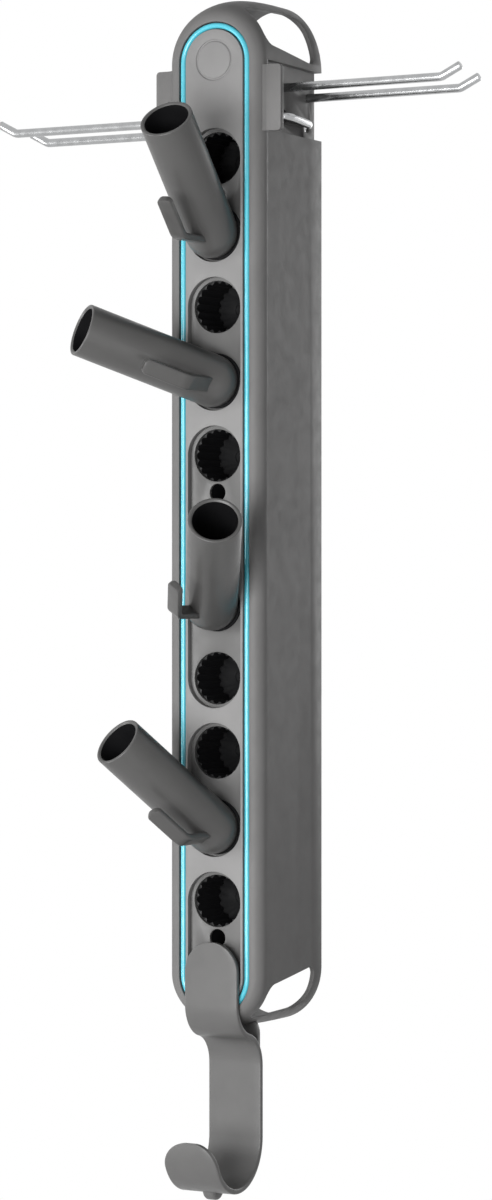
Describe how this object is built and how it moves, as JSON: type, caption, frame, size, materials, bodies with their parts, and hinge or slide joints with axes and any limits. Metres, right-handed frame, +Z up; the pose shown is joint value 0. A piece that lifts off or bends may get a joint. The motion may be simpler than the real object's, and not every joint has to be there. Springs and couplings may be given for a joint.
{
  "type": "wall-mounted garden tool rack",
  "caption": "Tall wall column with splined sockets, turnable angled tube holders, a wide J hook and bent wire hooks for hanging long-handled garden tools.",
  "frame": {"origin": "the middle wall screw's hole, on the wall plane behind the column", "axes": "+X to the viewer's right, +Y into the wall, +Z up; the front faces -Y"},
  "size_m": [0.3175, 0.1523, 0.7155],
  "materials": {
    "anthracite_plastic": "fine grain, satin",
    "mid_grey_plastic": "fine grain, satin",
    "near_black_plastic": "matt",
    "teal_plastic": "satin gloss",
    "bright_wire": "bright zinc plate",
    "screw_steel": "zinc plate"
  },
  "bodies": {
    "column": {"housing": "anthracite_plastic", "socket_strip": "near_black_plastic", "screw_tubes": "near_black_plastic", "front_face": "mid_grey_plastic", "trim_ring": "teal_plastic", "strip_screws": "screw_steel", "face_screws": "screw_steel"},
    "bush_body_1": {"bush_1": "near_black_plastic"},
    "holder_body_1": {"holder_1": "anthracite_plastic", "bush_screw_1": "screw_steel"},
    "bush_body_2": {"bush_2": "near_black_plastic"},
    "holder_body_2": {"holder_2": "anthracite_plastic", "bush_screw_2": "screw_steel"},
    "bush_body_3": {"bush_3": "near_black_plastic"},
    "holder_body_3": {"holder_3": "anthracite_plastic", "bush_screw_3": "screw_steel"},
    "bush_body_4": {"bush_4": "near_black_plastic"},
    "holder_body_4": {"holder_4": "anthracite_plastic", "bush_screw_4": "screw_steel"},
    "j_hook_body": {"j_hook": "mid_grey_plastic"},
    "left_wire_body": {"wire_hook_left": "bright_wire"},
    "right_wire_body": {"wire_hook_right": "bright_wire"}
  },
  "joints": [
    {"name": "holder_1_pull", "type": "slide", "parent": "column", "child": "bush_body_1", "axis": [0, -1, 0], "range_m": [0, 0.032]},
    {"name": "holder_1_turn", "type": "hinge", "parent": "bush_body_1", "child": "holder_body_1", "pos_m": [0, -0.06, 0.154], "axis": [0, 1, 0], "range_deg": [-93, 87]},
    {"name": "holder_2_pull", "type": "slide", "parent": "column", "child": "bush_body_2", "axis": [0, -1, 0], "range_m": [0, 0.032]},
    {"name": "holder_2_turn", "type": "hinge", "parent": "bush_body_2", "child": "holder_body_2", "pos_m": [0, -0.06, 0.066], "axis": [0, 1, 0], "range_deg": [-28, 152]},
    {"name": "holder_3_pull", "type": "slide", "parent": "column", "child": "bush_body_3", "axis": [0, -1, 0], "range_m": [0, 0.032]},
    {"name": "holder_3_turn", "type": "hinge", "parent": "bush_body_3", "child": "holder_body_3", "pos_m": [0, -0.06, -0.066], "axis": [0, 1, 0], "range_deg": [-126, 54]},
    {"name": "holder_4_pull", "type": "slide", "parent": "column", "child": "bush_body_4", "axis": [0, -1, 0], "range_m": [0, 0.032]},
    {"name": "holder_4_turn", "type": "hinge", "parent": "bush_body_4", "child": "holder_body_4", "pos_m": [0, -0.06, -0.198], "axis": [0, 1, 0], "range_deg": [-61, 119]},
    {"name": "j_hook_pull", "type": "slide", "parent": "column", "child": "j_hook_body", "axis": [0, -1, 0], "range_m": [0, 0.032]},
    {"name": "left_wire_slide", "type": "slide", "parent": "column", "child": "left_wire_body", "axis": [1, 0, 0], "range_m": [0, 0.126]},
    {"name": "right_wire_slide", "type": "slide", "parent": "column", "child": "right_wire_body", "axis": [1, 0, 0], "range_m": [-0.098, 0.029]}
  ]
}
